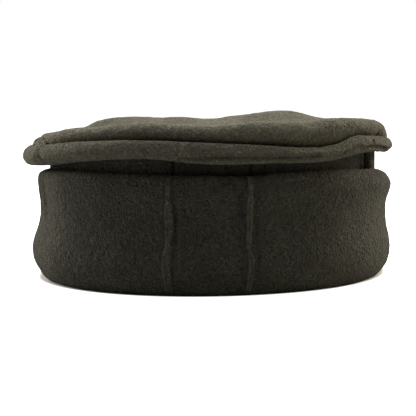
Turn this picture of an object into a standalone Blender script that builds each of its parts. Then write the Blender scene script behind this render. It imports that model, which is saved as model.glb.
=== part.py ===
"""A soft pakol: a round fleece hat with a dented flat top, a fat folded rim, a recessed
side wall and a tall turned-up cuff.

The scene is in metres, +Z up. The sizes and the tables below are in millimetres, and
angles are degrees round the hat: 0 at the front (-Y), 90 at the right (+X), where left
and right are as seen from the front. A radius counts from the middle of the opening,
across the hat. The hat stands on Z = 0, with the origin under the middle of its
bounding box.
"""

import math
from collections import namedtuple

import bmesh
import bpy

HAT_NAME = "pakol_hat"
MM = 0.001

CLOTH_THICKNESS = 2.4
PIECE_GAP = 0.3
LENGTH_OVER_WIDTH = 1.03  # the opening is oval, longer from front to back
STEPS_ROUND = 60  # sections round the hat, 6 degrees apart

HEAD_RADIUS = 92.6  # inside of the wall, for a 59 cm head
WALL_RADIUS = HEAD_RADIUS + CLOTH_THICKNESS
CENTRE_X = 2.6  # the rim overhangs further on the left, so the wall stands right of the middle
JOIN_HEIGHT = 9.0  # where the wall's own cloth becomes the cuff's, just above the bottom fold
HEM_HEIGHT = 25.0  # lowest edge of the cuff's turned-in layer
CUFF_TOP_BASE = 63.4  # height of the cuff's top fold in CUFF_ROWS
CUFF_WAIST = 36.0  # below this the cuff doesn't follow its uneven top edge

RIM_REACH = 107.6  # outermost radius of the folded rim, about the origin
RIM_FLANGE = 5.0  # flat inner part of the rim's underside, next to the wall
RIM_LIFT = 0.2  # how far that flat part lies above the rim's lowest line
RIM_INNER_LIFT = 1.0  # and how far its inner edge does
RIM_TUCK = 3.3  # how far the rim's upper edge goes in under the crown
CROWN_RADIUS = 102.6  # outermost radius of the crown's rolled edge
SEAM_RADIUS = CROWN_RADIUS - 1.9  # where the crown is sewn to the rim
SEAM_DEPTH = 1.3  # how far that seam lies below the rim's crest
CROWN_MIDDLE = 86.0  # height of the top at its middle, before its humps
CROWN_SLOPE = 2.2  # how fast the top leaves its ridge for the middle height
TOP_RADII = (87, 77, 64, 49, 33, 16, 0)  # rings of the soft top inside its ridge

# Height of the crown's edge, angle by angle. The edge is a fat rim with the crown's own
# roll on top of it, and a seam between them.
EdgeRow = namedtuple("EdgeRow", "angle underside seam ridge")
EDGE_ROWS = (
    EdgeRow(-180, 69.5, 79.0, 85.6),
    EdgeRow(-150, 69.0, 78.8, 88.0),
    EdgeRow(-120, 67.0, 77.4, 82.8),
    EdgeRow(-90, 65.3, 76.2, 81.6),
    EdgeRow(-65, 68.0, 78.8, 85.6),
    EdgeRow(-42, 71.9, 82.6, 90.6),
    EdgeRow(-20, 73.8, 84.3, 93.9),
    EdgeRow(0, 70.6, 82.4, 93.0),
    EdgeRow(15, 70.0, 80.5, 94.0),
    EdgeRow(32, 69.8, 78.8, 93.6),
    EdgeRow(52, 72.7, 83.0, 92.6),
    EdgeRow(70, 72.0, 80.4, 90.2),
    EdgeRow(90, 69.0, 77.2, 87.0),
    EdgeRow(120, 69.0, 77.8, 84.8),
    EdgeRow(150, 69.5, 79.0, 88.6),
)

# The rim's round outer side, from its lowest line up: how far inside its reach, and at
# what share of the way up to the seam, with a shift.
RimRow = namedtuple("RimRow", "inset share shift")
RIM_SIDE_ROWS = (
    RimRow(3.4, 0.0, 0.2),
    RimRow(1.1, 0.0, 1.9),
    RimRow(0.1, 0.5, -1.4),
    RimRow(0.2, 0.5, 1.8),
)

# The rim's crest: at what share of the way out from the seam, and how far below the crest.
CrestRow = namedtuple("CrestRow", "share drop")
RIM_CREST_ROWS = (
    CrestRow(0.80, 1.1),
    CrestRow(0.50, 0.0),
    CrestRow(0.22, 0.8),
    CrestRow(0.00, SEAM_DEPTH),
)

# The crown's roll, from the seam up to its ridge: how far inside its outermost radius,
# and at what share of its height.
RollRow = namedtuple("RollRow", "inset share")
CROWN_ROLL_ROWS = (
    RollRow(1.7, 0.00),
    RollRow(0.3, 0.26),
    RollRow(0.1, 0.50),
    RollRow(1.2, 0.74),
    RollRow(4.0, 0.93),
    RollRow(8.2, 1.00),
)
RIDGE_RADIUS = CROWN_RADIUS - CROWN_ROLL_ROWS[-1].inset

# Humps and dents of the soft top: where, how wide either way, and how high.
Hump = namedtuple("Hump", "x y width length height")
HUMPS = (
    Hump(38, 34, 20, 30, 8.2),
    Hump(-38, 38, 32, 30, 4.4),
    Hump(4, 30, 14, 40, -2.0),
    Hump(0, -48, 50, 26, -2.2),
)

# The cuff's outer side, from the join with the wall, down round the bottom fold, up the
# outside, over the top fold and down to the hidden hem. Radii at the front and back, and
# at the two sides, where the cloth bulges differently.
CuffRow = namedtuple("CuffRow", "height radius left right")
CUFF_ROWS = (
    CuffRow(JOIN_HEIGHT, HEAD_RADIUS, HEAD_RADIUS, HEAD_RADIUS),
    CuffRow(3.2, 92.9, 92.9, 92.9),
    CuffRow(0.0, 95.6, 95.6, 95.6),
    CuffRow(0.0, 98.6, 99.0, 98.2),
    CuffRow(1.8, 101.3, 101.7, 100.6),
    CuffRow(5.6, 103.2, 103.6, 102.3),
    CuffRow(10.4, 104.4, 105.5, 103.4),
    CuffRow(15.0, 104.7, 105.9, 103.8),
    CuffRow(20.5, 104.2, 105.2, 103.3),
    CuffRow(27.0, 102.8, 103.0, 102.0),
    CuffRow(35.0, 101.4, 101.3, 101.4),
    CuffRow(43.0, 101.0, 101.0, 102.0),
    CuffRow(50.0, 101.8, 101.5, 103.8),
    CuffRow(55.0, 102.5, 102.1, 103.9),
    CuffRow(59.4, 101.9, 101.3, 102.6),
    CuffRow(62.4, 100.3, 99.9, 100.6),
    CuffRow(CUFF_TOP_BASE, 98.4, 98.2, 98.4),
    CuffRow(62.0, 96.4, 96.4, 96.4),
    CuffRow(58.0, 95.35, 95.35, 95.35),
    CuffRow(HEM_HEIGHT, 95.35, 95.35, 95.35),
)

# Height of the cuff's top fold, angle by angle.
TopRow = namedtuple("TopRow", "angle height")
CUFF_TOP_ROWS = (
    TopRow(-180, 61.0),
    TopRow(-120, 60.8),
    TopRow(-90, 61.4),
    TopRow(-55, 64.6),
    TopRow(0, 63.4),
    TopRow(20, 63.2),
    TopRow(50, 64.2),
    TopRow(70, 62.6),
    TopRow(90, 59.2),
    TopRow(125, 59.8),
)

# The seams that run up the cuff's front and go on up the inside of the wall.
CLOTH_SEAMS = {"left": -13.4, "right": 11.0}
CUFF_SEAM_WIDTH = 4.0
CUFF_SEAM_FIRST_ROW = 4  # the seam's lowest and highest rows in CUFF_ROWS
CUFF_SEAM_LAST_ROW = 15
WALL_SEAM_WIDTH = 6.4
WALL_SEAM_START = 12.0
WALL_SEAM_BELOW_RIM = 1.5
SEAM_THICKNESS = 1.3
SEAM_DOME = 0.7  # how much higher the middle of a seam stands than its edges
SEAM_COLUMNS = 4

CLOTH_ROUGHNESS = 0.95
COLOURS = {
    "crown": (0.075, 0.068, 0.050, 1),
    "rim": (0.068, 0.062, 0.046, 1),
    "wall": (0.060, 0.054, 0.040, 1),
    "cuff": (0.066, 0.060, 0.044, 1),
    "seam": (0.080, 0.072, 0.053, 1),
}


def clear_scene():
    for thing in list(bpy.data.objects):
        bpy.data.objects.remove(thing, do_unlink=True)


def make_collection(name):
    collection = bpy.data.collections.new(name)
    bpy.context.scene.collection.children.link(collection)
    return collection


def cloth_material(name, colour):
    material = bpy.data.materials.new(name)
    material.use_nodes = True
    shader = material.node_tree.nodes["Principled BSDF"]
    shader.inputs["Base Color"].default_value = colour
    shader.inputs["Roughness"].default_value = CLOTH_ROUGHNESS
    shader.inputs["Metallic"].default_value = 0
    return material


def around(rows, column, angle):
    """The column's value at an angle, on a smooth curve through rows that go once round the hat."""
    angles = [row.angle for row in rows]
    values = [getattr(row, column) for row in rows]
    angles = [angles[-1] - 360] + angles + [angles[0] + 360, angles[1] + 360]
    values = [values[-1]] + values + values[:2]
    angle = (angle + 180) % 360 - 180
    start = 1
    while angles[start + 1] <= angle:
        start += 1
    span = angles[start + 1] - angles[start]
    share = (angle - angles[start]) / span
    slopes = []
    for i in (start, start + 1):
        slopes.append((values[i + 1] - values[i - 1]) / (angles[i + 1] - angles[i - 1]) * span)
    rise = values[start + 1] - values[start]
    bend = share * (1 - share)
    smooth = share * share * (3 - 2 * share)
    return values[start] + rise * smooth + bend * (slopes[0] * (1 - share) - slopes[1] * share)


def place(angle, radius, height):
    turn = math.radians(angle)
    x = CENTRE_X + radius * math.sin(turn)
    y = -radius * math.cos(turn) * LENGTH_OVER_WIDTH
    return (x * MM, y * MM, height * MM)


def cuff_section(angle):
    """The cuff's outer side at this angle, as radius and height pairs."""
    side = math.sin(math.radians(angle))
    stretch = around(CUFF_TOP_ROWS, "height", angle) - CUFF_TOP_BASE
    section = []
    for row in CUFF_ROWS:
        end = row.left if side < 0 else row.right
        radius = row.radius + (end - row.radius) * side * side
        above = max(row.height - CUFF_WAIST, 0) / (CUFF_TOP_BASE - CUFF_WAIST)
        section.append((radius, row.height + stretch * above))
    return section


def rim_section(angle):
    """The folded rim's outer side, from the top of the wall out and round to its seam."""
    seam = around(EDGE_ROWS, "seam", angle)
    underside = around(EDGE_ROWS, "underside", angle)
    reach = RIM_REACH - CENTRE_X * math.sin(math.radians(angle))
    width = reach - SEAM_RADIUS
    section = [
        (WALL_RADIUS + PIECE_GAP, underside + RIM_INNER_LIFT),
        (WALL_RADIUS + RIM_FLANGE, underside + RIM_LIFT),
    ]
    for row in RIM_SIDE_ROWS:
        height = underside + row.share * (seam - underside) + row.shift
        section.append((reach - row.inset, height))
    for row in RIM_CREST_ROWS:
        section.append((SEAM_RADIUS + row.share * width, seam - row.drop))
    section.append((SEAM_RADIUS - RIM_TUCK, seam - SEAM_DEPTH))
    return section


def crown_height(angle, radius):
    """Height of the soft top inside its ridge: the ridge fades to a flat middle with humps."""
    ridge = around(EDGE_ROWS, "ridge", angle)
    share = (radius / RIDGE_RADIUS) ** CROWN_SLOPE
    turn = math.radians(angle)
    x = radius * math.sin(turn)
    y = -radius * math.cos(turn)
    height = CROWN_MIDDLE + (ridge - CROWN_MIDDLE) * share
    for hump in HUMPS:
        distance = ((x - hump.x) / hump.width) ** 2 + ((y - hump.y) / hump.length) ** 2
        height += hump.height * math.exp(-distance) * (1 - share)
    return height


def crown_section(angle):
    """The crown's outer side, from its seam with the rim, over its roll and in to the middle."""
    foot = around(EDGE_ROWS, "seam", angle) - SEAM_DEPTH + PIECE_GAP
    rise = around(EDGE_ROWS, "ridge", angle) - foot
    section = [(CROWN_RADIUS - row.inset, foot + row.share * rise) for row in CROWN_ROLL_ROWS]
    section += [(radius, crown_height(angle, radius)) for radius in TOP_RADII]
    return section


def wall_section(angle):
    """The side wall's outer side, from the cuff's join up to the top of the rim's underside."""
    top = around(EDGE_ROWS, "underside", angle) + RIM_INNER_LIFT + CLOTH_THICKNESS
    bottom = JOIN_HEIGHT + PIECE_GAP
    return [(WALL_RADIUS, bottom), (WALL_RADIUS, (top + bottom) / 2), (WALL_RADIUS, top)]


def offset_section(section, distance):
    """The same section moved out square to itself by a distance, row by row."""
    moved = []
    last = len(section) - 1
    for i, (radius, height) in enumerate(section):
        before = section[max(i - 1, 0)]
        after = section[min(i + 1, last)]
        along_r = after[0] - before[0]
        along_h = after[1] - before[1]
        length = math.hypot(along_r, along_h)
        moved.append((radius + distance * along_h / length, height - distance * along_r / length))
    return moved


def grid_mesh(name, columns, rows, point_at):
    """A mesh laid as a flat grid, whose crossings go where point_at(column, row) says."""
    bm = bmesh.new()
    bmesh.ops.create_grid(bm, x_segments=columns, y_segments=rows, size=1)
    for vertex in bm.verts:
        column = round((vertex.co.x + 1) / 2 * columns)
        row = round((vertex.co.y + 1) / 2 * rows)
        vertex.co = point_at(column, row)
    bmesh.ops.remove_doubles(bm, verts=bm.verts, dist=0.001 * MM)
    mesh = bpy.data.meshes.new(name)
    bm.to_mesh(mesh)
    bm.free()
    mesh.shade_smooth()
    return mesh


def cloth_object(name, mesh, thickness, colour, collection):
    """The mesh as one piece of cloth, thickened to its inner side."""
    piece = bpy.data.objects.new(name, mesh)
    piece.data.materials.append(cloth_material(name + "_cloth", colour))
    collection.objects.link(piece)
    solidify = piece.modifiers.new("Solidify", "SOLIDIFY")
    solidify.thickness = thickness * MM
    solidify.offset = -1
    solidify.use_even_offset = True
    return piece


def ring_piece(name, section_at, colour, collection):
    """A piece that goes all round the hat, lofted through a section every few degrees."""
    angles = [step * 360 / STEPS_ROUND - 180 for step in range(STEPS_ROUND)]
    sections = [section_at(angle) for angle in angles]

    def point_at(column, row):
        index = column % STEPS_ROUND
        return place(angles[index], *sections[index][row])

    mesh = grid_mesh(name, STEPS_ROUND, len(sections[0]) - 1, point_at)
    return cloth_object(name, mesh, CLOTH_THICKNESS, colour, collection)


def seam_piece(name, section_at, angle, width, collection):
    """A raised seam: a narrow domed strip that lies along a section, clear of its cloth."""
    radius = section_at(angle)[0][0]
    half_turn = math.degrees(width / 2 / radius)
    rows = len(section_at(angle)) - 1

    def point_at(column, row):
        across = 2 * column / SEAM_COLUMNS - 1
        here = angle + across * half_turn
        lift = PIECE_GAP + SEAM_THICKNESS + SEAM_DOME * (1 - across * across)
        return place(here, *offset_section(section_at(here), lift)[row])

    mesh = grid_mesh(name, SEAM_COLUMNS, rows, point_at)
    return cloth_object(name, mesh, SEAM_THICKNESS, COLOURS["seam"], collection)


def cuff_front_section(angle):
    """The stretch of the cuff's section that its seams run along."""
    return cuff_section(angle)[CUFF_SEAM_FIRST_ROW : CUFF_SEAM_LAST_ROW + 1]


def wall_inner_section(angle):
    """The inside of the side wall, between the bottom fold and the rim."""
    top = around(EDGE_ROWS, "underside", angle) - WALL_SEAM_BELOW_RIM
    middle = (top + WALL_SEAM_START) / 2
    return [(HEAD_RADIUS, top), (HEAD_RADIUS, middle), (HEAD_RADIUS, WALL_SEAM_START)]


def main():
    clear_scene()
    hat = make_collection(HAT_NAME)
    ring_piece("crown_top", crown_section, COLOURS["crown"], hat)
    ring_piece("crown_rim", rim_section, COLOURS["rim"], hat)
    ring_piece("side_wall", wall_section, COLOURS["wall"], hat)
    ring_piece("cuff", cuff_section, COLOURS["cuff"], hat)
    for side, angle in CLOTH_SEAMS.items():
        seam_piece("cuff_seam_" + side, cuff_front_section, angle, CUFF_SEAM_WIDTH, hat)
        seam_piece("wall_seam_" + side, wall_inner_section, angle, WALL_SEAM_WIDTH, hat)


main()
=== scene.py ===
import math

import bmesh
import bpy
import numpy as np
from mathutils import Matrix, Vector, noise


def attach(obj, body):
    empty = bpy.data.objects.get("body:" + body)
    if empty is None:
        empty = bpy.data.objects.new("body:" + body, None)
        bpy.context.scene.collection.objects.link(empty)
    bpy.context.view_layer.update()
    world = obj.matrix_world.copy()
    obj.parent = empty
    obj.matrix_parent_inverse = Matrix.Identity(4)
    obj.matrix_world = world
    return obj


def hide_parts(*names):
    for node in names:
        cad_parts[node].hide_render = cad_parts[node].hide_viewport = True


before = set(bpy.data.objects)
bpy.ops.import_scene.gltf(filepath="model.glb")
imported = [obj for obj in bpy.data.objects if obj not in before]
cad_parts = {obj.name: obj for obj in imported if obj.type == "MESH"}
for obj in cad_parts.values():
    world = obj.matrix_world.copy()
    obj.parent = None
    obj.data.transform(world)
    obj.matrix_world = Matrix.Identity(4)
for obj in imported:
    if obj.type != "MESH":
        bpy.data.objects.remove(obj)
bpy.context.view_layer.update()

# Sizes and tables are in millimetres, and angles are degrees round the hat: 0 at the front
# (-Y), 90 at the right (+X). A radius counts from the middle of the opening, across the hat.
# A section is a row of radius and height points whose cloth lies on the left of its way.
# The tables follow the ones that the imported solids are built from, with finer folds.

mm = 0.001

hat = {
    "clothThickness": 2.4,
    "lengthOverWidth": 1.03,  # the opening is oval, longer from front to back
    "centreX": 2.6,  # the wall stands right of the middle, because the rim leans left
    "lumpSizes": (46.0, 15.0),  # how far apart the soft unevenness of the cloth repeats
    "lumpHeights": (0.55, 0.18),
    "grainSize": 2.8,  # clumps of nap that stand out of the mesh itself
    "grainHeight": 0.24,
    "edgeShares": (0.1, 0.5, 0.9),  # rows of points across a cut edge
    "pointsRound": 640,
    "foldRadius": 102.0,  # radius at which folds and creases are measured along the cloth
    "foldsFade": (86.0, 93.0),  # no folds inside the first radius, and full ones past the second
    "showing": (-0.35, 0.2),  # nor where the cloth faces inward, by its normal's outward part
    "paintedShadeRange": (-2.2, 2.7),  # how far the painted shade and painted highlight from a fold's depth may go
}

# Height of the rim's underside and of the seam on its crest, angle by angle
crownEdge = {
    "columns": "angle underside seam",
    "rows": [
        (-180, 69.5, 79.0),
        (-150, 69.0, 78.8),
        (-120, 67.0, 77.4),
        (-90, 65.0, 76.2),
        (-65, 67.7, 78.8),
        (-42, 71.9, 82.6),
        (-20, 73.8, 84.3),
        (0, 71.0, 82.4),
        (15, 70.6, 80.5),
        (32, 69.6, 78.3),
        (38, 70.1, 78.7),
        (43, 70.9, 79.9),
        (47, 71.7, 82.0),
        (52, 72.6, 82.8),
        (70, 72.0, 80.4),
        (90, 68.7, 77.5),
        (120, 69.0, 77.8),
        (150, 69.5, 79.0),
    ],
}


def column(table, name):
    place = table["columns"].split().index(name)
    return np.array([row[place] for row in table["rows"]], float)


def readRound(table, name, angles):  # a smooth curve through rows that go once round the hat
    knots = column(table, "angle")
    values = column(table, name)
    knots = np.concatenate(([knots[-1] - 360], knots, knots[:2] + 360))
    values = np.concatenate(([values[-1]], values, values[:2]))
    turn = (angles + 180) % 360 - 180
    start = np.searchsorted(knots, turn, side="right") - 1
    span = knots[start + 1] - knots[start]
    share = (turn - knots[start]) / span
    rise = values[start + 1] - values[start]
    before = (values[start + 1] - values[start - 1]) / (knots[start + 1] - knots[start - 1]) * span
    after = (values[start + 2] - values[start]) / (knots[start + 2] - knots[start]) * span
    smooth = share * share * (3 - 2 * share)
    return values[start] + rise * smooth + share * (1 - share) * (before * (1 - share) - after * share)


def fade(value, low, high):  # 0 at low, 1 at high, and smooth between them
    share = np.clip((value - low) / (high - low), 0, 1)
    return share * share * (3 - 2 * share)


def smoothRows(section, spacings):  # more rows, on smooth curves through a section's points
    gaps = np.linalg.norm(np.diff(section, axis=0), axis=2)[..., None] + 1e-9
    slopes = np.diff(section, axis=0) / gaps
    inner = (slopes[:-1] * gaps[1:] + slopes[1:] * gaps[:-1]) / (gaps[1:] + gaps[:-1])
    tangents = np.concatenate((slopes[:1], inner, slopes[-1:]))
    rows = []
    for i in range(len(gaps)):
        rise = section[i + 1] - section[i]
        count = max(1, round(float(gaps[i].mean()) / spacings[min(i, len(spacings) - 1)]))
        for share in np.arange(count) / count:
            smooth = share * share * (3 - 2 * share)
            bend = tangents[i] * (1 - share) - tangents[i + 1] * share
            rows.append(section[i] + rise * smooth + share * (1 - share) * bend * gaps[i])
    rows.append(section[-1])
    return np.array(rows)


def placeRound(angles, section):
    turn = np.radians(angles)
    x = hat["centreX"] + section[..., 0] * np.sin(turn)
    y = -section[..., 0] * np.cos(turn) * hat["lengthOverWidth"]
    return np.stack([x, y, section[..., 1]], axis=-1)


def radiusOf(points):
    return np.hypot(points[..., 0] - hat["centreX"], points[..., 1] / hat["lengthOverWidth"])


def normalsOf(points, closed, pole):
    if closed:
        across = np.roll(points, -1, axis=1) - np.roll(points, 1, axis=1)
    else:
        across = np.gradient(points, axis=1)
    normals = np.cross(across, np.gradient(points, axis=0))
    normals /= np.linalg.norm(normals, axis=2, keepdims=True) + 1e-12
    if pole:
        normals[-1] = normals[-2].mean(axis=0)
    return normals


def softNoise(points, size, seed):
    spots = points.reshape(-1, 3) / size + seed * 17.3  # each seed reads another part of the noise
    values = [noise.noise(spot) for spot in spots.tolist()]
    return np.array(values).reshape(points.shape[:-1])


def distanceTo(path, angles, heights, radius):  # from a line of angle and height points, on the cloth
    nearest = np.full(heights.shape, 1e9)
    perDegree = math.radians(radius)
    along = perDegree * ((angles - path[0][0] + 180) % 360 - 180)
    spots = [(perDegree * (angle - path[0][0]), height) for angle, height in path]
    for (startX, startZ), (endX, endZ) in zip(spots, spots[1:]):
        stepX = endX - startX
        stepZ = endZ - startZ
        share = ((along - startX) * stepX + (heights - startZ) * stepZ) / (stepX**2 + stepZ**2)
        share = np.clip(share, 0, 1)
        gap = np.hypot(along - startX - share * stepX, heights - startZ - share * stepZ)
        nearest = np.minimum(nearest, gap)
    return nearest


def pressed(folds, angles, heights):  # grooves with a soft lip on either side, or ridges
    depth = np.zeros(heights.shape)
    for path, deep, width, lip in folds:
        gap = distanceTo(path, angles, heights, hat["foldRadius"]) / width
        depth -= deep * np.exp(-gap * gap)
        depth += lip * np.exp(-((gap - 1.9) ** 2))
    return depth


def clothSheet(piece, angles, closed=True):
    # The outer side of one length of cloth: its own points, and those of the plain cloth
    # under its nap and small folds, with the plain cloth's normals.
    pole = piece.get("pole", False)
    section = smoothRows(piece["section"](angles), piece["spacings"])
    points = placeRound(angles, section)
    normals = normalsOf(points, closed, pole)
    angles = angles + np.zeros(points.shape[:2])
    turn = np.radians(angles)
    outward = normals[..., 0] * np.sin(turn) - normals[..., 1] * np.cos(turn)
    beside = fade(section[..., 0], *hat["foldsFade"])  # everywhere but on the crown's top
    showing = fade(outward, *hat["showing"]) * beside
    soft = sum(
        height * softNoise(points, size, seed)
        for seed, (size, height) in enumerate(zip(hat["lumpSizes"], hat["lumpHeights"]))
    )
    folds = pressed(piece["folds"], angles, points[..., 2]) * showing
    soft = soft * piece["calm"](points) + folds
    plain = points + normals * soft[..., None]
    normals = normalsOf(plain, closed, pole)
    small = pressed(piece["creases"], angles, points[..., 2]) * showing
    # painted light: the wool is painted darker in folds, creases and darker bands as shade, and paler on
    # ridges and paler bands as a highlight
    paintedShadeAndTone = -small - folds - pressed(piece["shaded"], angles, points[..., 2]) * beside
    # a piece's own painted highlight and painted shade
    if "shade" in piece:
        paintedShadeAndTone = paintedShadeAndTone + piece["shade"](points)
    paintedShadeAndTone = np.clip(paintedShadeAndTone, *hat["paintedShadeRange"])
    grain = hat["grainHeight"] * softNoise(points, hat["grainSize"], 5)
    outer = plain + normals * (small + grain * piece["calm"](points))[..., None]
    return {"outer": outer, "plain": plain, "normals": normals, "paintedShadeAndTone": paintedShadeAndTone}


def edgeRows(start, end, before, bulge):  # a rounded edge between the two sides of the cloth
    way = start - before
    way /= np.linalg.norm(way, axis=-1, keepdims=True) + 1e-9
    rows = []
    for share in hat["edgeShares"]:
        out = bulge * hat["clothThickness"] * math.sin(math.pi * share)
        rows.append(start + (end - start) * share + way * out)
    return np.array(rows)


def thicken(sheet, pole, coarse, bulges):  # the sheet's rows, an edge, its inner rows and an edge
    outer = sheet["outer"]
    picked = sorted(set(range(0, len(outer), coarse)) | {len(outer) - 1}, reverse=True)
    inner = sheet["plain"][picked] - sheet["normals"][picked] * hat["clothThickness"]
    rough = hat["grainHeight"] * softNoise(inner, hat["grainSize"] * 2, 9)
    inner = inner + sheet["normals"][picked] * (rough - hat["grainHeight"])[..., None]
    low = edgeRows(outer[0], inner[-1], outer[1], bulges[0])[::-1]
    if pole:
        return np.concatenate((outer, inner, low)), len(outer) - 1
    high = edgeRows(outer[-1], inner[0], outer[-2], bulges[1])
    return np.concatenate((outer, high, inner, low)), None


def meshFrom(name, points, paintedShadeAndTone, skip=None, closedRows=True, capped=False):
    # points are rows by columns, in millimetres; the columns close on themselves.
    rows, columns = points.shape[:2]
    index = np.arange(rows * columns).reshape(rows, columns)
    faces = []
    for row in range(rows if closedRows else rows - 1):
        if row == skip:
            continue
        here = index[row]
        above = index[(row + 1) % rows]
        faces.append(np.stack([here, np.roll(here, -1), np.roll(above, -1), above], axis=1))
    faces = np.concatenate(faces).tolist()
    if capped:
        faces += [index[0][::-1].tolist(), index[-1].tolist()]
    mesh = bpy.data.meshes.new(name)
    points[..., 2] = points[..., 2].clip(0)  # nothing reaches below the floor
    mesh.from_pydata((points.reshape(-1, 3) * mm).tolist(), [], faces)
    values = np.zeros(rows * columns, np.float32)
    values[: paintedShadeAndTone.size] = paintedShadeAndTone.ravel()
    # the painted shade and highlight go to the mesh as an attribute; on the seams it also holds the wool's
    # own tone
    mesh.attributes.new("paintedShadeAndTone", "FLOAT", "POINT").data.foreach_set("value", values)
    return mesh


def mergePoles(mesh):
    bm = bmesh.new()
    bm.from_mesh(mesh)
    bmesh.ops.remove_doubles(bm, verts=bm.verts, dist=0.001 * mm)
    bm.to_mesh(mesh)
    bm.free()


def addPiece(name, mesh, node, material):
    mesh.shade_smooth()
    mesh.materials.append(material)
    piece = bpy.data.objects.new(name, mesh)
    bpy.context.scene.collection.objects.link(piece)
    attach(piece, "root")
    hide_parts(node)
    print(name, len(mesh.vertices), "points")
    return piece


def clothObject(name, piece, node, material):
    count = piece.get("pointsRound", hat["pointsRound"])
    angles = np.arange(count) * 360 / count - 180
    sheet = clothSheet(piece, angles)
    pole = piece.get("pole", False)
    points, skip = thicken(sheet, pole, piece["coarse"], piece["bulges"])
    mesh = meshFrom(name, points, sheet["paintedShadeAndTone"], skip)
    if pole:
        mergePoles(mesh)
    return addPiece(name, mesh, node, material)


# Shader node groups

def newGroup(name, inputs, outputs):
    group = bpy.data.node_groups.new(name, "ShaderNodeTree")
    for label, value in inputs.items():
        kinds = {float: "NodeSocketFloat", tuple: "NodeSocketColor"}
        kind = kinds.get(type(value), "NodeSocketVector")
        socket = group.interface.new_socket(label, in_out="INPUT", socket_type=kind)
        if value is not None:
            socket.default_value = value
    for label, kind in outputs.items():
        group.interface.new_socket(label, in_out="OUTPUT", socket_type="NodeSocket" + kind)
    start = group.nodes.new("NodeGroupInput")
    end = group.nodes.new("NodeGroupOutput")
    return group, start.outputs, end.inputs


def addNode(tree, kind, values, **settings):  # values are set, or linked if they are sockets
    made = tree.nodes.new("ShaderNode" + kind)
    for key, value in settings.items():
        setattr(made, key, value)
    for key, value in values.items():
        if isinstance(value, bpy.types.NodeSocket):
            tree.links.new(value, made.inputs[key])
        else:
            made.inputs[key].default_value = value
    return made


def calculate(tree, operation, first, second, third=0.0):
    node = addNode(tree, "Math", {0: first, 1: second, 2: third}, operation=operation)
    return node.outputs[0]


def noiseAt(tree, position, size, offset, detail=2.0, curl=0.0):  # an offset picks other noise
    scale = calculate(tree, "DIVIDE", 1.0, size)
    moved = addNode(tree, "VectorMath", {0: position, 1: offset}, operation="ADD").outputs[0]
    values = {"Vector": moved, "Scale": scale, "Detail": detail, "Roughness": 0.6, "Distortion": curl}
    return addNode(tree, "TexNoise", values).outputs["Fac"]


def steps(tree, value, low, high):
    values = {"Value": value, "From Min": low, "From Max": high}
    return addNode(tree, "MapRange", values, interpolation_type="SMOOTHSTEP").outputs[0]


def mixColour(tree, share, first, second, blend="MIX"):
    values = {0: share, 6: first, 7: second}
    return addNode(tree, "Mix", values, data_type="RGBA", blend_type=blend).outputs[2]


def makeHeatherGroup():  # mottled wool: pale and dark flecks and drifting hue, with painted shade in the nap's grooves, folds and creases, and painted highlight on ridges
    inputs = {
        "Position": None,
        "Base": (0.06, 0.055, 0.043, 1.0),
        "Pale": (0.1, 0.09, 0.07, 1.0),
        "Dark": (0.03, 0.028, 0.022, 1.0),
        "Fleck Size": 1.1,
        "Pale Share": 0.6,
        "Dark Share": 0.6,
        "Patch Size": 11.0,
        "Patches": 0.25,
        "Drift": 0.12,
        "Grooves": 0.0,
        "Groove Shade": 0.4,
        "Painted Shade And Tone": 0.0,
    }
    group, given, out = newGroup("heatherColour", inputs, {"Colour": "Color"})
    pale = steps(group, noiseAt(group, given["Position"], given["Fleck Size"], (0, 0, 0)), 0.5, 0.68)
    dark = steps(group, noiseAt(group, given["Position"], given["Fleck Size"], (37, 11, 5)), 0.5, 0.68)
    pale = calculate(group, "MULTIPLY", pale, given["Pale Share"])
    dark = calculate(group, "MULTIPLY", dark, given["Dark Share"])
    colour = mixColour(group, pale, given["Base"], given["Pale"])
    colour = mixColour(group, dark, colour, given["Dark"])
    patch = noiseAt(group, given["Position"], given["Patch Size"], (3, 29, 7))
    patch = calculate(group, "SUBTRACT", patch, 0.5)
    bright = calculate(group, "MULTIPLY_ADD", patch, given["Patches"], 1.0)
    # painted shade in the nap's grooves
    grooved = calculate(group, "MULTIPLY", given["Grooves"], given["Groove Shade"])
    grooved = calculate(group, "SUBTRACT", 1.0, grooved)
    # painted shade from the mesh's attribute: darker in folds and creases, paler on ridges
    shade = calculate(group, "MULTIPLY_ADD", given["Painted Shade And Tone"], -0.35, bright)
    shade = calculate(group, "MULTIPLY", calculate(group, "MAXIMUM", shade, 0.04), grooved)
    driftSize = calculate(group, "MULTIPLY", given["Patch Size"], 0.45)
    drift = noiseAt(group, given["Position"], driftSize, (31, 2, 17))
    drift = calculate(group, "MULTIPLY", calculate(group, "SUBTRACT", drift, 0.5), given["Drift"])
    red = calculate(group, "MULTIPLY", shade, calculate(group, "ADD", 1.0, drift))
    blue = calculate(group, "MULTIPLY", shade, calculate(group, "MULTIPLY_ADD", drift, -1.5, 1.0))
    tint = addNode(group, "CombineColor", {0: red, 1: shade, 2: blue}).outputs[0]
    colour = mixColour(group, 1.0, colour, tint, "MULTIPLY")
    group.links.new(colour, out["Colour"])
    return group


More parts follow.
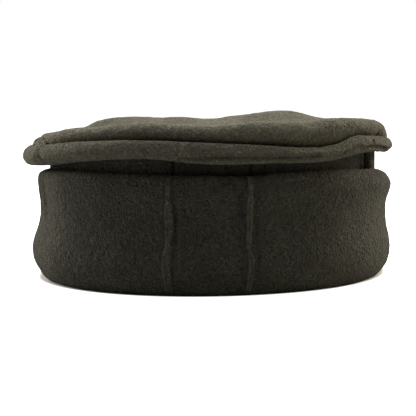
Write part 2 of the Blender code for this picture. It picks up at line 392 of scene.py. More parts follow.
def makeNapGroup():  # height of the nap, in millimetres: soft clumps, fibres, pills and curled grooves
    inputs = {
        "Position": None,
        "Clump Size": 1.8,
        "Clump Height": 0.3,
        "Fibre Size": 0.45,
        "Fibre Height": 0.12,
        "Pill Size": 3.2,
        "Pill Height": 0.1,
        "Groove Size": 2.4,
        "Groove Width": 0.07,
        "Groove Depth": 0.5,
    }
    group, given, out = newGroup("napHeight", inputs, {"Height": "Float", "Grooves": "Float"})
    clumps = noiseAt(group, given["Position"], given["Clump Size"], (5, 0, 2), 1.0, 1.2)
    clumps = calculate(group, "MULTIPLY", clumps, given["Clump Height"])
    fibres = noiseAt(group, given["Position"], given["Fibre Size"], (0, 13, 1), 2.0, 0.8)
    fibres = calculate(group, "MULTIPLY", fibres, given["Fibre Height"])
    scale = calculate(group, "DIVIDE", 1.0, given["Pill Size"])
    values = {"Vector": given["Position"], "Scale": scale, "Randomness": 1.0}
    cells = addNode(group, "TexVoronoi", values)
    pills = steps(group, cells.outputs["Distance"], 0.42, 0.08)
    pills = calculate(group, "MULTIPLY", pills, given["Pill Height"])
    curl = noiseAt(group, given["Position"], given["Groove Size"], (23, 41, 9), 0.0, 2.2)
    curl = calculate(group, "ABSOLUTE", calculate(group, "SUBTRACT", curl, 0.5), 0.0)
    grooves = steps(group, curl, given["Groove Width"], 0.0)
    height = calculate(group, "ADD", clumps, fibres)
    height = calculate(group, "ADD", height, pills)
    dug = calculate(group, "MULTIPLY", grooves, given["Groove Depth"])
    height = calculate(group, "SUBTRACT", height, dug)
    group.links.new(height, out["Height"])
    # the grooves mask also darkens the colour, as painted shade
    group.links.new(grooves, out["Grooves"])
    return group


def fleeceMaterial(name, look):
    material = bpy.data.materials.new(name)
    material.use_nodes = True
    tree = material.node_tree
    shader = tree.nodes["Principled BSDF"]
    place = addNode(tree, "TexCoord", {}).outputs["Object"]
    place = addNode(tree, "VectorMath", {0: place, "Scale": 1 / mm}, operation="SCALE").outputs[0]
    paintedShadeAndTone = addNode(tree, "Attribute", {}, attribute_name="paintedShadeAndTone").outputs["Fac"]
    colour = tree.nodes.new("ShaderNodeGroup")
    colour.node_tree = groups["heather"]
    nap = tree.nodes.new("ShaderNodeGroup")
    nap.node_tree = groups["nap"]
    tree.links.new(place, colour.inputs["Position"])
    tree.links.new(place, nap.inputs["Position"])
    tree.links.new(paintedShadeAndTone, colour.inputs["Painted Shade And Tone"])
    tree.links.new(nap.outputs["Grooves"], colour.inputs["Grooves"])
    for label, value in look["heather"].items():
        colour.inputs[label].default_value = value
    for label, value in look["nap"].items():
        nap.inputs[label].default_value = value
    bump = addNode(tree, "Bump", {"Height": nap.outputs["Height"], "Distance": mm, "Strength": 1.0})
    tree.links.new(bump.outputs["Normal"], shader.inputs["Normal"])
    tree.links.new(colour.outputs["Colour"], shader.inputs["Base Color"])
    shader.inputs["Roughness"].default_value = look["roughness"]
    shader.inputs["Specular IOR Level"].default_value = look["specular"]
    shader.inputs["Sheen Weight"].default_value = look["sheen"]
    shader.inputs["Sheen Roughness"].default_value = look["sheenRoughness"]
    shader.inputs["Sheen Tint"].default_value = look["sheenTint"]
    return material


def paintedLightCopy(heather, paintedLightFactor, warmth, **others):  # a copy of the same wool, made lighter or darker as painted light, and redder
    changed = {**heather, **others}
    for label in ("Base", "Pale", "Dark"):
        red, green, blue = (part * paintedLightFactor for part in heather[label][:3])
        changed[label] = (red * (1 + warmth), green, blue * (1 - warmth), 1)
    return changed


groups = {"heather": makeHeatherGroup(), "nap": makeNapGroup()}
wool = {
    "roughness": 0.95,
    "specular": 0.15,
    "sheenRoughness": 0.45,
    "sheenTint": (0.80, 0.77, 0.66, 1),
}
print("shader groups made")

# Cuff: the same cloth turned out and up at the bottom, and in again at its top

cuff = {
    "waist": 36.0,  # below this the cuff doesn't follow its uneven top edge
    "topBase": 63.4,
    "joinHeight": 9.15,  # where the wall's cloth goes on
    "insideRadius": 94.0,
    "calmNearJoin": 8.0,
    "calmNearFloor": 3.0,
    "rows": {
        "columns": "height radius left right",  # left and right are the radii at the two sides
        "rows": [
            (9.15, 92.6, 92.6, 92.6),
            (3.2, 92.9, 92.9, 92.9),
            (0.0, 95.6, 95.6, 95.6),
            (0.0, 98.6, 97.8, 96.2),
            (1.8, 101.3, 100.3, 98.3),
            (5.6, 103.2, 102.7, 101.2),
            (10.4, 104.4, 105.2, 102.8),
            (15.0, 104.7, 105.9, 103.2),
            (20.5, 104.2, 105.5, 102.8),
            (27.0, 102.8, 103.3, 101.5),
            (35.0, 101.4, 101.3, 100.9),
            (43.0, 101.0, 101.0, 101.5),
            (50.0, 101.8, 101.5, 103.6),
            (55.0, 102.5, 102.1, 104.5),
            (59.4, 101.9, 102.1, 103.1),
            (62.4, 100.3, 101.2, 100.9),
            (63.4, 98.4, 98.9, 97.9),
            (62.0, 96.4, 96.4, 96.4),
            (58.0, 95.35, 95.35, 95.35),
            (25.0, 95.35, 95.35, 95.35),
        ],
    },
    "top": {
        "columns": "angle height",
        "rows": [
            (-180, 61.0),
            (-120, 60.8),
            (-90, 61.4),
            (-55, 65.2),
            (-28, 65.6),
            (0, 64.5),
            (11, 63.9),
            (20, 65.2),
            (32, 65.2),
            (50, 64.2),
            (70, 62.1),
            (90, 58.3),
            (125, 59.8),
        ],
    },
    "spacings": [2.0] + [1.0] * 16 + [1.5, 5.0],
    "coarse": 3,
    "bulges": (0.0, 0.35),
    # a path of angle and height points, how deep, how wide, and how high its lips are
    "folds": [
        ([(-70.6, 60.0), (-71.0, 40.0)], -1.3, 2.6, 0.0),
        ([(-79.0, 60.0), (-79.5, 46.0)], 0.8, 3.0, 0.0),
        ([(53.6, 54.1), (66.0, 48.6), (78.2, 45.7)], 0.5, 5.0, 0.0),
        ([(-40.0, 17.0), (-10.0, 18.5), (20.0, 17.5)], -0.25, 6.0, 0.0),
    ],
    "creases": [
        ([(-52.0, 23.2), (-46.4, 23.5), (-29.9, 24.8), (-7.2, 25.3)], 0.22, 1.1, 0.08),
        ([(-75.3, 59.5), (-75.9, 50.2), (-76.2, 43.0)], 1.1, 1.5, 0.1),
        ([(-54.1, 65.0), (-54.3, 57.0)], 0.35, 0.9, 0.12),
        ([(-11.9, 56.0), (-11.8, 44.0)], 0.7, 0.9, 0.0),
        ([(-11.7, 43.0), (-11.6, 28.0)], 1.2, 0.9, 0.0),
        ([(-11.8, 26.0), (-12.2, 8.0)], 0.7, 1.1, 0.0),
        ([(8.6, 55.0), (8.5, 43.0)], 0.8, 1.8, 0.0),
        ([(8.4, 40.0), (8.6, 14.0)], 0.3, 1.8, 0.0),
        ([(13.2, 60.0), (12.9, 40.0), (12.9, 16.0)], 0.6, 0.8, 0.0),
        ([(13.4, 20.2), (13.4, 19.2)], 0.8, 0.8, 0.0),
    ],
    # painted light: darker bands as painted shade, paler ones as painted highlight, with no dent; the paler
    # band along the bottom is painted floor light
    "shaded": [
        ([(-67.2, 60.0), (-67.8, 38.0)], -1.2, 2.8, 0.0),
        ([(-61.5, 58.0), (-61.5, 8.0)], -0.45, 5.0, 0.0),
        ([(-51.0, 54.0), (-52.0, 34.0), (-53.0, 8.0)], 0.45, 9.0, 0.0),
        ([(-46.0, 55.0), (-46.5, 42.0)], 0.4, 6.0, 0.0),
        ([(64.0, 54.0), (68.0, 30.0), (66.0, 10.0)], -0.3, 14.0, 0.0),
        ([(-46.0, 26.0), (-44.0, 10.0)], 0.6, 12.0, 0.0),
        ([(55.8, 52.0), (57.0, 30.0), (55.5, 10.0)], -0.35, 8.0, 0.0),
        ([(36.0, 46.0), (45.0, 41.5)], -0.4, 5.0, 0.0),
        ([(-66.0, 12.0), (-50.0, 7.0), (0.0, 4.0), (40.0, 5.0)], -0.7, 8.0, 0.0),
        ([(-50.0, 64.0), (-20.0, 63.5), (10.0, 62.5), (30.0, 63.0)], -0.9, 3.6, 0.0),
    ],
}


def cuffSection(angles):
    side = np.sin(np.radians(angles))
    stretch = readRound(cuff["top"], "height", angles) - cuff["topBase"]
    section = []
    for height, radius, left, right in cuff["rows"]["rows"]:
        end = np.where(side < 0, left, right)
        above = max(height - cuff["waist"], 0) / (cuff["topBase"] - cuff["waist"])
        reach = radius + (end - radius) * side * side
        section.append(np.stack([reach, height + stretch * above], axis=-1))
    return np.array(section)


def calmAtJoin(points):  # the cuff and the wall meet without a step, so neither is uneven there
    inside = fade(np.abs(points[..., 2] - cuff["joinHeight"]), 0, cuff["calmNearJoin"])
    outside = fade(points[..., 2], 0, cuff["calmNearFloor"])
    return np.where(radiusOf(points) < cuff["insideRadius"], inside, outside)


cuff["section"] = cuffSection
cuff["calm"] = calmAtJoin
cuffLook = {
    **wool,
    "heather": {
        "Base": (0.059, 0.055, 0.0415, 1),
        "Pale": (0.108, 0.1, 0.075, 1),
        "Dark": (0.027, 0.0262, 0.0197, 1),
        "Fleck Size": 1.3,
        "Pale Share": 0.8,
        "Dark Share": 0.7,
        "Patch Size": 15.0,
        "Patches": 0.5,
        "Drift": 0.28,
        "Groove Shade": 0.3,
    },
    "nap": {
        "Clump Size": 2.6,
        "Clump Height": 2.2,
        "Fibre Size": 1.1,
        "Fibre Height": 0.7,
        "Groove Size": 4.2,
        "Groove Width": 0.1,
        "Groove Depth": 1.2,
    },
    "sheen": 0.15,
}
clothObject("cuffCloth", cuff, "cuff", fleeceMaterial("cuffFleece", cuffLook))

# Side wall: the tube of cloth round the head, with two seams and a pleat at its right

wall = {
    "radius": 95.0,
    "levels": (16.0, 54.0),  # its rows of points lie closer below the first and above the second
    "top": 3.4,  # how far it goes up past the rim's underside
    "spacings": [1.2, 3.5, 1.0],
    "coarse": 2,
    "bulges": (0.0, 0.35),
    "folds": [
        ([(67.0, 52.0), (66.6, 78.0)], 9.0, 3.5, 0.0),
        ([(61.9, 56.0), (61.9, 78.0)], -1.6, 1.6, 0.0),
        ([(71.3, 56.0), (70.8, 78.0)], -0.9, 0.8, 0.0),
        ([(88.0, 56.0), (88.0, 78.0)], -0.5, 8.0, 0.0),
    ],
    "shaded": [  # painted shade by the depth given, and painted highlight where the depth is below zero, with no dent
        ([(-50.0, 67.0), (-26.0, 69.0)], -0.6, 8.0, 0.0),
        ([(-10.0, 68.0), (12.0, 67.0)], 0.5, 9.0, 0.0),
        ([(36.0, 65.0), (50.0, 66.0), (57.5, 67.0)], -0.7, 8.0, 0.0),
        ([(62.9, 54.0), (62.9, 78.0)], -1.4, 1.6, 0.0),
        ([(76.0, 56.0), (75.6, 78.0)], 1.8, 6.5, 0.0),
        ([(67.8, 52.0), (67.6, 78.0)], 2.6, 1.6, 0.0),
    ],
    "creases": [
        ([(-12.9, 56.0), (-12.9, 80.0)], 1.5, 0.9, 0.1),
        ([(12.4, 56.0), (12.4, 80.0)], 1.5, 0.9, 0.1),
    ],
}


def wallSection(angles):
    top = readRound(crownEdge, "underside", angles) + wall["top"]
    radius = np.full(angles.shape, wall["radius"])
    heights = [height + 0 * angles for height in (cuff["joinHeight"], *wall["levels"])] + [top]
    return np.array([np.stack([radius, height], axis=-1) for height in heights])


wall["section"] = wallSection
wall["calm"] = lambda points: fade(points[..., 2] - cuff["joinHeight"], 0, cuff["calmNearJoin"])
# painted shade: the wall's wool is the cuff's, made darker for the shade it lies in
wallLook = dict(cuffLook, heather=paintedLightCopy(cuffLook["heather"], 0.79, 0.0), sheen=0.1)
clothObject("wallCloth", wall, "side_wall", fleeceMaterial("wallFleece", wallLook))

# Rim: the fat fold that stands out past the wall

rim = {
    "reach": 107.6,  # outermost radius, about the origin
    "seamRadius": 100.7,
    "start": [(95.3, 1.0), (100.0, 0.2)],  # radius, and height above the underside
    "side": [(3.4, 0.0, 0.2), (1.1, 0.0, 1.9), (0.1, 0.5, -1.4), (0.2, 0.5, 1.8)],  # inset, share, shift
    "crest": [(0.80, 1.1), (0.50, 0.0), (0.22, 0.4), (0.0, 1.1)],  # share of the way out, drop
    "tuck": (97.4, 2.2),
    "spacings": [2.0, 1.2, 0.7],
    "coarse": 2,
    "bulges": (0.35, 0.0),
    "folds": [
        ([(-62.0, 79.2), (-62.3, 76.0), (-61.5, 72.5), (-59.5, 70.5)], 0.9, 1.1, 0.1),
        ([(-64.8, 78.5), (-65.3, 71.0)], -1.0, 1.6, 0.0),
        ([(-68.2, 78.0), (-68.6, 74.0), (-68.0, 69.5)], 0.3, 1.6, 0.1),
        ([(-86.0, 71.0), (-104.0, 71.0)], -0.4, 5.0, 0.0),
        ([(86.0, 75.0), (100.0, 75.0)], -0.6, 3.0, 0.0),
    ],
    "creases": [
        (
            [(-9.4, 73.8), (0.0, 74.8), (10.0, 74.4), (18.0, 73.8), (24.5, 73.1), (33.0, 73.5)],
            1.2, 1.0, 0.3,
        ),
        ([(39.5, 72.1), (41.1, 73.2), (43.3, 74.2)], 0.6, 0.8, 0.2),
        ([(42.4, 74.0), (44.7, 75.4), (47.6, 77.1), (51.2, 77.3)], 0.8, 0.8, 0.25),
        ([(45.6, 74.2), (49.1, 75.8), (52.9, 76.1)], 0.7, 0.7, 0.2),
        ([(54.5, 76.0), (56.9, 76.4), (62.3, 75.5), (70.0, 73.5), (72.3, 73.2)], 1.5, 0.8, 0.5),
        ([(59.0, 79.4), (59.0, 77.9)], 2.0, 0.7, 0.1),
    ],
    # painted highlight: a paler band along the rim's upper side, with no dent
    "shaded": [
        ([(-52.0, 76.5), (-36.0, 78.8), (-19.5, 79.2), (-8.0, 79.0)], -0.6, 3.2, 0.0),
        ([(4.0, 79.5), (10.0, 79.0)], -0.4, 2.2, 0.0),
    ],
}


def rimSection(angles):
    seam = readRound(crownEdge, "seam", angles)
    underside = readRound(crownEdge, "underside", angles)
    reach = rim["reach"] - hat["centreX"] * np.sin(np.radians(angles))
    flat = 0 * angles
    section = [(radius + flat, underside + lift) for radius, lift in rim["start"]]
    for inset, share, shift in rim["side"]:
        section.append((reach - inset, underside + share * (seam - underside) + shift))
    for share, drop in rim["crest"]:
        section.append((rim["seamRadius"] + share * (reach - rim["seamRadius"]), seam - drop))
    section.append((rim["tuck"][0] + flat, seam - rim["tuck"][1]))
    return np.array([np.stack(pair, axis=-1) for pair in section])


rim["section"] = rimSection
rim["calm"] = lambda points: 1.0
softNap = {
    "Clump Size": 3.0,
    "Clump Height": 2.2,
    "Fibre Size": 1.0,
    "Fibre Height": 0.7,
    "Groove Depth": 1.0,
}
# painted light: the rim's wool is the cuff's, made 1.86 times as bright
rimWool = paintedLightCopy(cuffLook["heather"], 1.86, 0.035, **{"Groove Shade": 0.3, "Drift": 0.16})
rimLook = dict(cuffLook, heather=rimWool, nap=softNap, sheen=0.12)
clothObject("rimCloth", rim, "crown_rim", fleeceMaterial("rimFleece", rimLook))

# Crown: the round top, whose edge rolls over and down to the seam

crown = {
    "pointsRound": 480,
    "radius": 102.6,
    "middle": 84.0,
    "slope": 2.2,
    "crest": {  # height of the ridge where the roll turns in to the top
        # a larger tuck turns the roll further under, and a larger lean makes it rounder above
        "columns": "angle height tuck lean",
        "rows": [
            (-180, 85.6, 0.9, 0.0),
            (-150, 88.0, 0.9, 0.0),
            (-135, 87.0, 0.8, 0.0),
            (-126, 82.9, 0.6, 0.4),
            (-114, 81.2, 0.2, 1.2),
            (-90, 81.4, -0.35, 1.8),
            (-65, 86.5, 0.3, 0.6),
            (-52, 89.0, 0.6, 0.3),
            (-42, 89.7, 0.65, 0.5),
            (-30, 92.2, 0.7, 0.8),
            (-20, 93.1, 0.75, 1.0),
            (-11, 92.3, 0.9, 1.0),
            (0, 91.3, 1.0, 0.4),
            (8, 92.0, 1.1, 0.4),
            (15, 92.6, 1.3, 0.8),
            (24, 92.6, 1.5, 0.9),
            (33, 92.3, 1.1, 0.6),
            (43, 93.0, 0.8, 0.4),
            (54, 92.3, 1.0, 0.2),
            (70, 90.3, 0.8, 0.8),
            (90, 87.2, -0.05, 2.2),
            (120, 84.8, 0.6, 0.8),
            (150, 88.6, 0.9, 0.0),
        ],
    },
    "foot": 1.4,  # how far below the rim's crest its lower edge lies
    # how far inside the outermost radius, and at what share of the height
    "roll": [(5.2, 0.0), (3.1, 0.12), (1.3, 0.32), (0.2, 0.55), (0.7, 0.75), (3.4, 0.93), (8.2, 1.0)],
    "tucked": 0.5,  # below this share the tuck counts
    "leaning": (0.3, 0.95),  # the lean grows between these shares
    "ridgeRadius": 94.4,
    "top": (87, 77, 64, 49, 33, 16, 0),
    "humps": {  # these began as a fit to the outline of the crown's top
        "columns": "x y width length height",
        "rows": [
            (45.5, 42, 29, 19, 11.6),
            (-22, 48, 26, 16, 6.0),
            (12, 48, 10, 17, 2.4),
            (-75, 30, 18, 22, 1.0),
            (61, 24, 20, 27, 2.2),
        ],
    },
    "shades": {
        "front": 0.55,  # painted highlight: how much paler the top's front is
        "frontRadius": (101, 96),  # it fades in from the first to the second
        "frontY": (10, -40),
        "back": 0.95,  # painted shade: how much darker the hump at the back left is
        "backX": (-30, -52),
        "backY": (-40, 0),
    },
    "spacings": [0.8] * 7 + [1.4, 1.6, 2.0],
    "coarse": 3,
    "bulges": (0.1, 0.0),
    "pole": True,
    "folds": [
        ([(-73.4, 77.5), (-73.3, 81.0), (-71.5, 84.0)], -1.1, 1.5, 0.0),
        ([(-70.2, 84.0), (-69.2, 80.5), (-65.5, 78.6)], 1.0, 1.3, 0.0),
        ([(-76.6, 83.0), (-76.2, 78.0)], 0.6, 1.5, 0.0),
        ([(68.4, 82.4), (68.6, 79.8)], 1.6, 1.4, 0.0),
        ([(73.0, 85.0), (73.5, 79.0)], -0.8, 1.5, 0.0),
        ([(-90.0, 77.6), (-112.0, 77.4)], -2.1, 3.2, 0.0),
    ],
    # painted shade with no dent: the first cancels the painted highlight of the matching fold, the second
    # darkens the roll at the right
    "shaded": [
        ([(-90.0, 77.6), (-112.0, 77.4)], 2.1, 3.2, 0.0),
        ([(38.0, 88.5), (58.0, 88.0), (74.0, 86.0)], 0.5, 5.0, 0.0),
    ],
    "creases": [
        ([(-66.5, 78.6), (-64.0, 79.0)], 0.9, 0.9, 0.1),
    ],
}


def crownSection(angles):
    foot = readRound(crownEdge, "seam", angles) - crown["foot"]
    ridge = readRound(crown["crest"], "height", angles)
    tuck = readRound(crown["crest"], "tuck", angles)
    lean = readRound(crown["crest"], "lean", angles)
    section = []
    for inset, share in crown["roll"]:
        under = tuck if share < crown["tucked"] else 1.0
        inset = inset * under + lean * fade(share, *crown["leaning"])
        section.append((crown["radius"] - inset, foot + share * (ridge - foot)))
    turn = np.radians(angles)
    for radius in crown["top"]:
        share = (radius / crown["ridgeRadius"]) ** crown["slope"]
        height = crown["middle"] + (ridge - crown["middle"]) * share
        x = radius * np.sin(turn)
        y = -radius * np.cos(turn)
        for humpX, humpY, width, length, rise in crown["humps"]["rows"]:
            distance = ((x - humpX) / width) ** 2 + ((y - humpY) / length) ** 2
            height = height + rise * np.exp(-distance) * (1 - share)
        section.append((radius + 0 * angles, height))
    return np.array([np.stack(pair, axis=-1) for pair in section])


def crownPaintedLight(points):  # painted highlight on the top's front, and painted shade on the hump at its back left
    shades = crown["shades"]
    front = fade(radiusOf(points), *shades["frontRadius"]) * fade(points[..., 1], *shades["frontY"])
    back = fade(points[..., 1], *shades["backY"]) * fade(points[..., 0], *shades["backX"])
    return shades["back"] * back - shades["front"] * front


crown["section"] = crownSection
crown["shade"] = crownPaintedLight
crown["calm"] = lambda points: 1.0
# painted light: the crown's wool is the cuff's, made 2.55 times as bright
crownWool = paintedLightCopy(cuffLook["heather"], 2.55, 0.035, **{"Groove Shade": 0.25, "Drift": 0.16})
crownLook = dict(cuffLook, heather=crownWool, nap=softNap, sheen=0.16)
clothObject("crownCloth", crown, "crown_top", fleeceMaterial("crownFleece", crownLook))

# Seams: two strands of frayed edge that twist round each other, up the front of the cuff

seams = {
    "strandHeight": 1.6,
    "twistLength": 3.4,  # over which the strands change sides
    "crossing": 0.35,  # how much higher the upper strand stands where they cross
    "fibreDepth": 0.12,
    "fibreSlant": 1.2,
    "fibreTurns": 3.3,
    "sunk": 0.5,
    "raised": 0.1,  # of the strip's upper side, everywhere
    "across": 26,
    "finer": 3,  # rows of a seam for each row of the cuff
    "step": 0.15,  # degrees
    "facing": 0.2,  # the seam ends where the cuff turns away from the front
    "firstHeight": 2.2,
    "lastHeight": 64.3,
    "taper": (-0.2, 1.3),
    "endShare": 0.25,  # of the strands' height that is left at the ends
    "narrows": (46.0, 58.0),  # between these heights
    "dark": 0.6,  # painted shade at the strip's foot
    "darkToPale": (-0.2, 0.5),  # how far out of the cuff the painted shade gives way to pale wool
    "mottle": (2.2, 1.9, 6),  # size, strength and seed
    "rough": ((1.3, 0.4, 3), (0.6, 0.22, 8)),  # sizes, heights and seeds
    "left": {
        "width": 2.7,  # half the strip
        "strandWidth": 1.4,
        "narrowing": 0.4,  # of the seam's top, as a share of its width
        "offset": 0.95,  # of each strand from the middle
        "pale": 1.3,
        "columns": "height angle",
        "rows": [
            (4.9, -13.6),
            (14.6, -14.2),
            (24.3, -13.9),
            (28.6, -13.8),
            (36.1, -13.5),
            (49.5, -13.7),
            (61.8, -13.5),
        ],
        "twists": (28.5, 52.0),  # heights
        "span": (-18.0, -9.0),
    },
    "right": {
        "width": 1.9,
        "strandWidth": 0.9,
        "narrowing": 0.0,
        "offset": 0.7,
        "pale": 1.7,
        "columns": "height angle",
        "rows": [
            (3.4, 10.3),
            (11.4, 10.7),
            (19.8, 11.1),
            (25.8, 10.5),
            (38.2, 11.0),
            (48.9, 11.1),
            (61.2, 11.5),
        ],
        "twists": (24.0, 56.0),
        "span": (6.5, 15.5),
    },
}


def seamRows(sheet):  # the rows of the cuff's outer side that a seam runs up
    rising = sheet["plain"][..., 2].mean(axis=1)
    covered = (rising > seams["firstHeight"]) & (rising < seams["lastHeight"])
    covered = covered & (sheet["normals"][:, 0, 1] < seams["facing"])
    return [row for row in range(int(np.argmax(rising))) if covered[row]]


def strandsAt(seam, height, u):  # how high the higher of the two strands stands
    turns = [(height - twist) / seams["twistLength"] for twist in seam["twists"]]
    side = math.prod(math.tanh(turn) for turn in turns)
    over = sum((-1) ** i * math.exp(-(turn**2)) for i, turn in enumerate(turns))
    slim = 1 - seam["narrowing"] * float(fade(height, *seams["narrows"]))
    highest = 0.0
    for way in (1, -1):
        gap = (u / slim - way * side * seam["offset"]) / seam["strandWidth"]
        along = (height + way * u * seams["fibreSlant"]) * seams["fibreTurns"]
        strand = seams["strandHeight"] + seams["crossing"] * way * over
        strand = strand * (1 + seams["fibreDepth"] * math.sin(along))
        highest = max(highest, strand * math.sqrt(max(0, 1 - gap * gap)))
    return highest


def seamLine(seam, plain, normal, firstAngle):  # one row across a seam, and its painted shade: dark at the strip's foot, and pale on the raised strands, partly their own paler colour and partly painted highlight
    height = plain[:, 2].mean()
    centre = np.interp(height, column(seam, "height"), column(seam, "angle"))
    fromEnd = min(height - seams["firstHeight"], seams["lastHeight"] - height)
    full = seams["endShare"] + (1 - seams["endShare"]) * float(fade(fromEnd, *seams["taper"]))
    spread = np.linspace(-1, 1, seams["across"])
    points = []
    shade = []
    for upper, shares in ((True, spread), (False, spread[::-1][1:-1])):
        for u in shares * seam["width"]:
            spot = (centre + math.degrees(u / hat["foldRadius"]) - firstAngle) / seams["step"]
            left = int(spot)
            near = plain[left] + (plain[left + 1] - plain[left]) * (spot - left)
            lift = -seams["sunk"]
            if upper:
                lift += strandsAt(seam, height, u) * full + seams["raised"]
            points.append(near + normal[left] * lift)
            shade.append(seams["dark"] - (seams["dark"] + seam["pale"]) * fade(lift, *seams["darkToPale"]))
    return points, shade


def seamStrip(name, seam, node, material):
    angles = np.arange(seam["span"][0], seam["span"][1], seams["step"])
    sheet = clothSheet(cuff, angles, closed=False)
    rows = seamRows(sheet)
    lines = []
    shades = []
    for share in np.linspace(0, len(rows) - 1, len(rows) * seams["finer"]):
        low = int(share)
        high = min(low + 1, len(rows) - 1)
        part = share - low
        plain = sheet["plain"][rows[low]] * (1 - part) + sheet["plain"][rows[high]] * part
        normal = sheet["normals"][rows[low]] * (1 - part) + sheet["normals"][rows[high]] * part
        points, shade = seamLine(seam, plain, normal, angles[0])
        lines.append(points)
        shades.append(shade)
    points = np.array(lines)
    size, strength, seed = seams["mottle"]
    # painted shade and paler strands, with a mottle of the wool's own tone
    shades = np.array(shades) + strength * softNoise(points, size, seed)
    rough = sum(height * softNoise(points, size, seed) for size, height, seed in seams["rough"])
    points[:, : seams["across"]] += rough[:, : seams["across"], None] * sheet["normals"][rows[0], 0]
    mesh = meshFrom(name, points, shades, closedRows=False, capped=True)
    return addPiece(name, mesh, node, material)


seamLook = {
    **wool,
    "heather": {
        "Base": (0.065, 0.064, 0.046, 1),
        "Pale": (0.120, 0.114, 0.078, 1),
        "Dark": (0.032, 0.031, 0.022, 1),
        "Fleck Size": 0.9,
        "Patch Size": 4.0,
        "Patches": 0.5,
        "Drift": 0.55,
    },
    "nap": {
        "Clump Size": 1.0,
        "Clump Height": 0.5,
        "Fibre Size": 0.4,
        "Fibre Height": 0.3,
        "Pill Height": 0.0,
    },
    "sheen": 0.2,
}
seamFray = fleeceMaterial("seamFray", seamLook)
seamStrip("cuffSeamLeft", seams["left"], "cuff_seam_left", seamFray)
seamStrip("cuffSeamRight", seams["right"], "cuff_seam_right", seamFray)

# The same seams inside the wall: their edges lie open and flat, either side of the stitching

wallSeams = {
    "halfWidth": 3.2,
    "height": 1.2,
    "sunk": 0.5,
    "flapMiddle": 0.5,  # of each flap, as a share of the half width
    "flapRound": 3.6,
    "taper": (-0.3, 2.0),
    "rough": (1.3, 0.3, 4),  # size, height and seed
    "start": 12.0,
    "belowRim": 1.5,
    "across": 20,
    "spacing": 0.9,
    "angles": {"Left": -13.4, "Right": 11.0},
}


def wallSeamStrip(name, angle, node, material):
    top = float(readRound(crownEdge, "underside", np.array([angle]))[0]) - wallSeams["belowRim"]
    heights = np.arange(wallSeams["start"], top, wallSeams["spacing"])
    spread = np.linspace(-1, 1, wallSeams["across"])
    lines = []
    for height in heights:
        end = float(fade(min(height - heights[0], heights[-1] - height), *wallSeams["taper"]))
        points = []
        for upper, shares in ((True, spread), (False, spread[::-1][1:-1])):
            for u in shares:
                lift = -wallSeams["sunk"]
                if upper:
                    flap = 1 - (abs(u) - wallSeams["flapMiddle"]) ** 2 * wallSeams["flapRound"]
                    lift = wallSeams["height"] * max(0, flap) * end
                radius = wall["radius"] - hat["clothThickness"] - lift
                here = angle + math.degrees(-u * wallSeams["halfWidth"] / radius)
                spot = placeRound(np.array([here]), np.array([[radius, height]]))[0]
                points.append(spot)
        lines.append(points)
    points = np.array(lines)
    inward = -points / np.linalg.norm(points[..., :2], axis=-1, keepdims=True) * (1, 1, 0)
    size, rough, seed = wallSeams["rough"]
    points += inward * (rough * softNoise(points, size, seed))[..., None]
    mesh = meshFrom(name, points, np.zeros(1), closedRows=False, capped=True)
    return addPiece(name, mesh, node, material)


for side, angle in wallSeams["angles"].items():
    wallSeamStrip("wallSeam" + side, angle, "wall_seam_" + side.lower(), seamFray)

# Stage: a white floor, soft lights and the camera at the photograph's angle

stage = {
    "floorSize": 9.0,
    "shadowCentreX": 1.2,
    "shadowRadius": (99.2, 103.0),  # painted shadow: the floor's glow is dark inside the first and white past the second
    "bounce": 0.5,  # how much light the floor throws back on the hat
    "worldLight": 0.01,
    "aim": (0, 0, 0.04),  # the middle of the hat
    "lights": {
        # where it stands, its width and depth, its power, and its colour; the powers and
        # colours began as a fit of renders under one light each to the photo's tones
        "topLight": ((0.0, 0.0, 1.2), (1.0, 1.0), 10.0, (0.94, 1.0, 1.01)),
        "topBackLight": ((0.0, 0.7, 1.1), (1.2, 0.8), 5.0, (0.88, 1.0, 1.06)),
        "topRightLight": ((0.9, -0.1, 1.0), (0.7, 0.7), 1.2, (1.0, 0.90, 0.70)),
        "leftLight": ((-1.1, -0.45, 0.38), (0.6, 0.6), 1.5, (1.0, 0.99, 0.94)),
        "leftBackLight": ((-0.9, 0.7, 0.5), (0.6, 0.6), 16.5, (1.0, 0.94, 0.84)),
        "rightLight": ((1.15, -0.2, 0.35), (0.5, 0.5), 1.9, (1.0, 0.89, 0.70)),
        "rightBackLight": ((0.9, 0.7, 0.5), (0.5, 0.5), 15.2, (1.0, 0.92, 0.76)),
    },
}


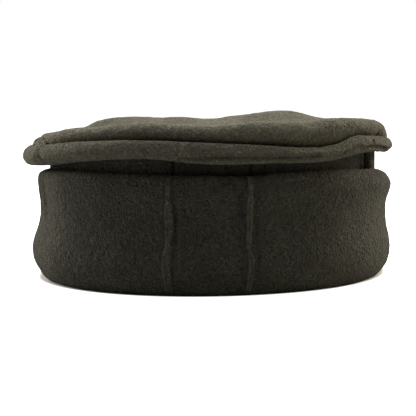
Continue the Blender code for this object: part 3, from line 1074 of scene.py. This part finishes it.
def addFloor():
    half = stage["floorSize"] / 2
    mesh = bpy.data.meshes.new("floor")
    corners = [(-half, -half, 0), (half, -half, 0), (half, half, 0), (-half, half, 0)]
    mesh.from_pydata(corners, [], [(0, 1, 2, 3)])
    material = bpy.data.materials.new("whiteFloor")
    material.use_nodes = True
    tree = material.node_tree
    shader = tree.nodes["Principled BSDF"]
    place = addNode(tree, "TexCoord", {}).outputs["Object"]
    inside, outside = stage["shadowRadius"]
    fromMiddle = addNode(tree, "VectorMath", {0: place, 1: (-stage["shadowCentreX"] * mm, 0, 0)}).outputs[0]
    oval = (1 / mm, 1 / mm / hat["lengthOverWidth"], 0)
    fromMiddle = addNode(tree, "VectorMath", {0: fromMiddle, 1: oval}, operation="MULTIPLY").outputs[0]
    distance = addNode(tree, "VectorMath", {0: fromMiddle}, operation="LENGTH").outputs["Value"]
    # painted shadow: the floor's glow fades out near the hat
    glowPastPaintedShadow = steps(tree, distance, inside, outside)
    tree.links.new(glowPastPaintedShadow, shader.inputs["Emission Strength"])
    shader.inputs["Emission Color"].default_value = (1, 1, 1, 1)
    shader.inputs["Base Color"].default_value = (0.9, 0.9, 0.9, 1)
    shader.inputs["Roughness"].default_value = 1.0
    shader.inputs["Specular IOR Level"].default_value = 0.0
    dim = addNode(tree, "BsdfDiffuse", {"Color": (stage["bounce"],) * 3 + (1,)})
    seen = addNode(tree, "LightPath", {}).outputs["Is Camera Ray"]
    both = tree.nodes.new("ShaderNodeMixShader")
    tree.links.new(seen, both.inputs[0])
    tree.links.new(dim.outputs[0], both.inputs[1])
    tree.links.new(shader.outputs[0], both.inputs[2])
    tree.links.new(both.outputs[0], tree.nodes["Material Output"].inputs["Surface"])
    mesh.materials.append(material)
    floor = bpy.data.objects.new("floor", mesh)
    bpy.context.scene.collection.objects.link(floor)


def addLights():
    for name, (where, size, power, colour) in stage["lights"].items():
        lamp = bpy.data.lights.new(name, "AREA")
        lamp.shape = "RECTANGLE"
        lamp.size = size[0]
        lamp.size_y = size[1]
        lamp.energy = power
        lamp.color = colour
        light = bpy.data.objects.new(name, lamp)
        light.location = where
        toHat = Vector(stage["aim"]) - Vector(where)
        light.rotation_euler = toHat.to_track_quat("-Z", "Y").to_euler()
        light.visible_camera = False
        bpy.context.scene.collection.objects.link(light)


def addWorld():
    world = bpy.data.worlds.new("studio")
    world.use_nodes = True
    tree = world.node_tree
    lighting = tree.nodes["Background"]
    lighting.inputs["Color"].default_value = (1, 1, 1, 1)
    lighting.inputs["Strength"].default_value = stage["worldLight"]
    white = addNode(tree, "Background", {"Color": (1, 1, 1, 1), "Strength": 1.0})
    seen = addNode(tree, "LightPath", {}).outputs["Is Camera Ray"]
    both = tree.nodes.new("ShaderNodeMixShader")
    tree.links.new(seen, both.inputs[0])
    tree.links.new(lighting.outputs[0], both.inputs[1])
    tree.links.new(white.outputs[0], both.inputs[2])
    tree.links.new(both.outputs[0], tree.nodes["World Output"].inputs["Surface"])
    bpy.context.scene.world = world


camera = {  # its height, pitch, roll and lens began as a fit to points on the cuff's edges
    "place": (-0.15, -1100.0, 143.05),
    "pitch": 5.471,  # degrees down
    "roll": -0.86,
    "lens": 162.64,
    "sensorWidth": 36.0,
}


def addCamera():
    pitch = math.radians(camera["pitch"])
    roll = math.radians(camera["roll"])
    forward = Vector((0, math.cos(pitch), -math.sin(pitch)))
    level = Vector((1, 0, 0))
    upright = Vector((0, math.sin(pitch), math.cos(pitch)))
    right = level * math.cos(roll) + upright * math.sin(roll)
    up = upright * math.cos(roll) - level * math.sin(roll)
    lens = bpy.data.cameras.new("camera")
    lens.sensor_width = camera["sensorWidth"]
    lens.lens = camera["lens"]
    lens.clip_start = 0.05
    lens.clip_end = 50
    lens.dof.use_dof = False
    eye = bpy.data.objects.new("camera", lens)
    turned = Matrix((right, up, -forward)).transposed().to_4x4()
    turned.translation = Vector(camera["place"]) * mm
    eye.matrix_world = turned
    bpy.context.scene.collection.objects.link(eye)
    bpy.context.scene.camera = eye


addFloor()
addLights()
addWorld()
addCamera()
bpy.context.scene.view_settings.view_transform = "Standard"
print("stage, lights and camera made")
